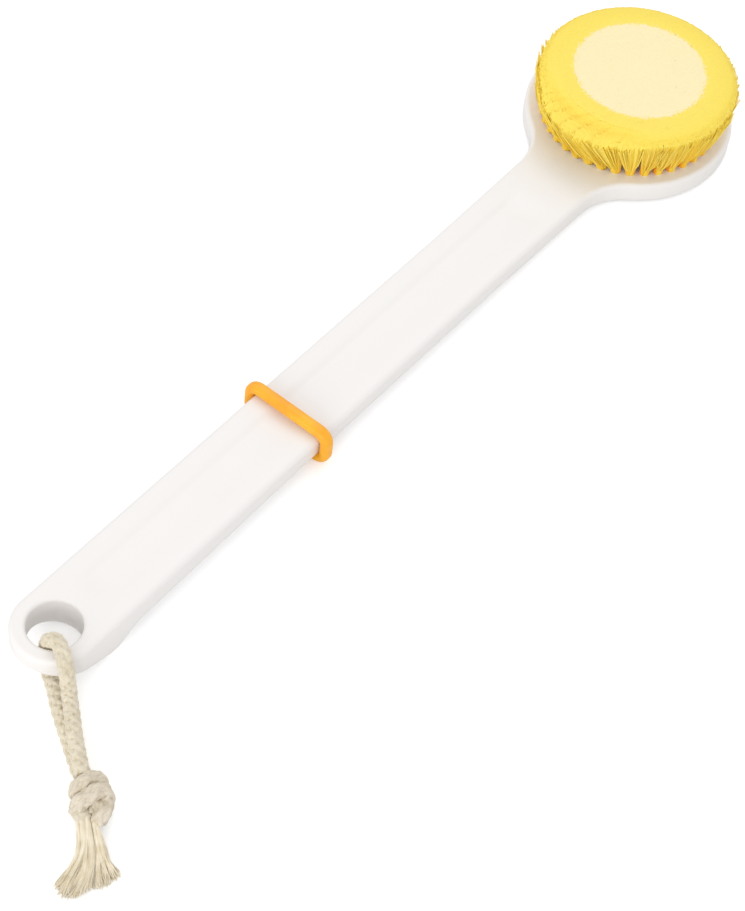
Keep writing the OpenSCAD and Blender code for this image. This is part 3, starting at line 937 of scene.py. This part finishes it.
def makeTuftRow(name, node, radius, count, inner, outer, levels, material, seed):
    spec = tuftSpec
    rng = np.random.default_rng(seed)
    total = count * spec["filaments"]
    outermost = radius > spec["outerRow"] - 1
    strands = plantStrands(count, rng)
    u, v, s = strands[:3]
    bundle = strands[-1]
    turn = np.repeat(np.arange(count) * 2 * np.pi / count, spec["filaments"])
    root = np.stack([radius + u * spec["rootRadius"], v * spec["rootRadius"]], axis=1)
    tip, wild = placeTips(count, inner, outer, outermost, strands, rng)
    zone, pushed = pushStrands(count, turn, outermost, strands, rng)
    opened = 4 * zone * (1 - zone)  # where the tufts are drawn apart
    furrow = zone * np.exp(-((s - spec["furrowAt"]) / spec["furrowWidth"]) ** 2)
    rimmost = np.clip((s - spec["raggedFrom"]) / (1 - spec["raggedFrom"]), 0, 1) * outermost
    lower = abs(rng.normal(0, spec["uneven"], total)) + spec["bundleLower"] * bundle + spec["furrow"] * furrow
    lower += (spec["ragged"] * rimmost * (1 - spec["raggedPushed"] * zone)
              * np.where(bundle, spec["raggedBundle"], rng.random(total) ** 2))
    # every strand is a copy of one filament, thickened, spun about itself and leant to its tip
    corners, faces = makeFilament(levels)
    spin = (rng.random(total) * randomTurn)[:, None]
    level = corners[:, 2]
    risen = np.clip((level - spec["straightTo"]) / (1 - spec["straightTo"]), 0, 1)
    fan = 1 - (1 - risen) ** spec["opening"]
    lean = level ** spec["leaning"]
    thickRoot = np.where(bundle, spec["bundleAtRoot"], spec["filamentAtRoot"])[:, None]
    thickTip = np.where(bundle, spec["bundleAtTip"], np.where(wild, spec["wildAtTip"], spec["filamentAtTip"]))
    thicker = spec["openedThicker"] * opened * np.where(bundle, spec["openedBundle"], 1.0)
    thicker += spec["pushedThicker"] * zone
    thickTip = (thickTip * (1 + thicker))[:, None]
    thick = thickRoot + (thickTip - thickRoot) * level[None, :]
    across = corners[None, :, 0] * np.cos(spin) - corners[None, :, 1] * np.sin(spin)
    beside = corners[None, :, 0] * np.sin(spin) + corners[None, :, 1] * np.cos(spin)
    # the tips are trimmed to a crown, each cut end lying in its slope
    out = (np.hypot(tip[:, 0], tip[:, 1]) + pushed[:, 0])[:, None] + across * thick
    crown = dropAt(out, spec["crown"]) + dropAt(out, spec["rounding"])
    fallen = dropAt(out, spec["pushedFall"])
    high = spec["height"] - crown * (1 - zone)[:, None] - fallen * zone[:, None] - lower[:, None]
    x = root[:, :1] + (tip - root)[:, :1] * fan + pushed[:, :1] * lean + across * thick
    y = root[:, 1:] + (tip - root)[:, 1:] * fan + pushed[:, 1:] * lean + beside * thick
    cosine, sine = np.cos(turn)[:, None], np.sin(turn)[:, None]
    points = np.empty((total, len(corners), 3))
    points[:, :, 0] = x * cosine - y * sine + spec["combed"][0] * lean
    points[:, :, 1] = x * sine + y * cosine + spec["combed"][1] * lean
    points[:, :, 2] = spec["deck"] - spec["sink"] + level[None, :] * (high + spec["sink"])
    base = (np.arange(total) * len(corners))[:, None]
    allFaces = []
    for face in faces:
        allFaces += (base + np.array(face)[None, :]).tolist()
    piece = meshPiece(name, points.reshape(-1, 3) * mm, allFaces)
    # painted light and shade: how much light reaches each point, set into its colour; and each strand's own
    # tone, lighter or darker at random
    lit = np.clip(u - spec["litSpread"] * abs(v), 0, 1) * outermost
    lit = np.maximum(lit, spec["litPushed"] * zone * (s > spec["litPushedFrom"]))[:, None]
    along = level[None, :] ** spec["unlitPower"] * (1 - lit)
    along = along + (spec["litAtRoot"] + spec["litRise"] * level[None, :]) * lit
    along = (along * (1 - spec["furrowPaintedShade"] * furrow)[:, None]).ravel()
    shade = np.repeat(rng.random(total), len(corners))
    for label, values in (("along", along), ("shade", shade)):
        layer = piece.data.attributes.new(label, "FLOAT", "POINT")
        layer.data.foreach_set("value", np.ascontiguousarray(values, dtype=np.float32))
    piece.data.materials.append(material)
    piece.data.update()
    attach(piece, "brush")
    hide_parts(node)


tipEdges = tuftSpec["tipEdges"]
for row in range(tuftSpec["rows"]):
    rowRadius, tufts = rowOf(row)
    yellow = row < tuftSpec["yellowRows"]
    makeTuftRow("bristleRow%d" % (row + 1), "tuft_row_%d" % (row + 1), rowRadius, tufts,
                tipEdges[row + 1], tipEdges[row], tuftSpec["outerLevels" if row == 0 else "levels"],
                yellowFilament if yellow else creamFilament,
                10 + row)
makeTuftRow("bristleCentre", "tuft_centre", 0.0, 1, 0.0, tipEdges[-1], tuftSpec["levels"],
            creamFilament, 30)
print("bristles planted")


def dress(node, material):  # a CAD node keeps its shape and gets a better material
    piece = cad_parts[node]
    piece.data.materials.clear()
    piece.data.materials.append(material)


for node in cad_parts:
    if node.startswith("anchor"):
        dress(node, anchorWire)
dress("grip_ring", orangeRubber)


stageSpec = {
    "floor": "#f0f0f0",
    "white": "#ffffff",
    "glow": 0.36,             # lifts the floor to white for the camera only
    "fill": 0.84,             # how strongly the room lights the brush
    "middle": (-0.15, 0, 0),
    # soft panels, aimed at the middle: place, width and height in metres, power in watts
    "panels": {
        "overheadPanel": {"place": (0.6, 0.45, 1.2), "size": (1.2, 0.9), "power": 3.3},
        "frontPanel": {"place": (-1.3, -0.25, 0.42), "size": (1.4, 0.6), "power": 4.6},
    },
}


def makeStage():
    deselectAll()
    bpy.ops.mesh.primitive_plane_add(size=6, location=stageSpec["middle"])
    floor = bpy.context.object
    floor.name = "floor"
    material = newMaterial("whiteStudioSweep")
    light = addNode(material, "ShaderNodeLightPath")
    diffuse = addNode(material, "ShaderNodeBsdfDiffuse", values={"Color": linear(stageSpec["floor"])})
    glow = addNode(material, "ShaderNodeEmission",
                   values={"Color": linear(stageSpec["white"]), "Strength": stageSpec["glow"]})
    lit = addNode(material, "ShaderNodeAddShader", links={0: (diffuse, "BSDF"), 1: (glow, "Emission")})
    seen = addNode(material, "ShaderNodeMixShader",
                   links={"Fac": (light, "Is Camera Ray"), 1: (diffuse, "BSDF"), 2: (lit, "Shader")})
    addNode(material, "ShaderNodeOutputMaterial", links={"Surface": (seen, "Shader")})
    floor.data.materials.append(material)


def makePanel(name, panel):
    data = bpy.data.lights.new(name, "AREA")
    data.shape = "RECTANGLE"
    data.size, data.size_y = panel["size"]
    data.energy = panel["power"]
    lamp = bpy.data.objects.new(name, data)
    lamp.location = panel["place"]
    lamp.rotation_euler = (Vector(stageSpec["middle"]) - lamp.location).to_track_quat("-Z", "Y").to_euler()
    bpy.context.collection.objects.link(lamp)


def makeLights():
    world = bpy.data.worlds.new("Studio")
    bpy.context.scene.world = world
    world.use_nodes = True
    # the world lights the brush at the fill level, and is plain white where it is seen or mirrored
    light = addNode(world, "ShaderNodeLightPath")
    seen = addNode(world, "ShaderNodeMath", {"operation": "MAXIMUM"}, {},
                   {0: (light, "Is Camera Ray"), 1: (light, "Is Glossy Ray")})
    white = addNode(world, "ShaderNodeMath", {"operation": "MAXIMUM"}, {},
                    {0: (seen, "Value"), 1: (light, "Is Transmission Ray")})
    level = addNode(world, "ShaderNodeMapRange", values={"To Min": stageSpec["fill"], "To Max": 1.0},
                    links={"Value": (white, "Value")})
    back = world.node_tree.nodes["Background"]
    back.inputs["Color"].default_value = linear(stageSpec["white"])
    world.node_tree.links.new(level.outputs["Result"], back.inputs["Strength"])
    for name, panel in stageSpec["panels"].items():
        makePanel(name, panel)


makeStage()
makeLights()
bpy.context.scene.view_settings.view_transform = "Standard"
print("stage lit")
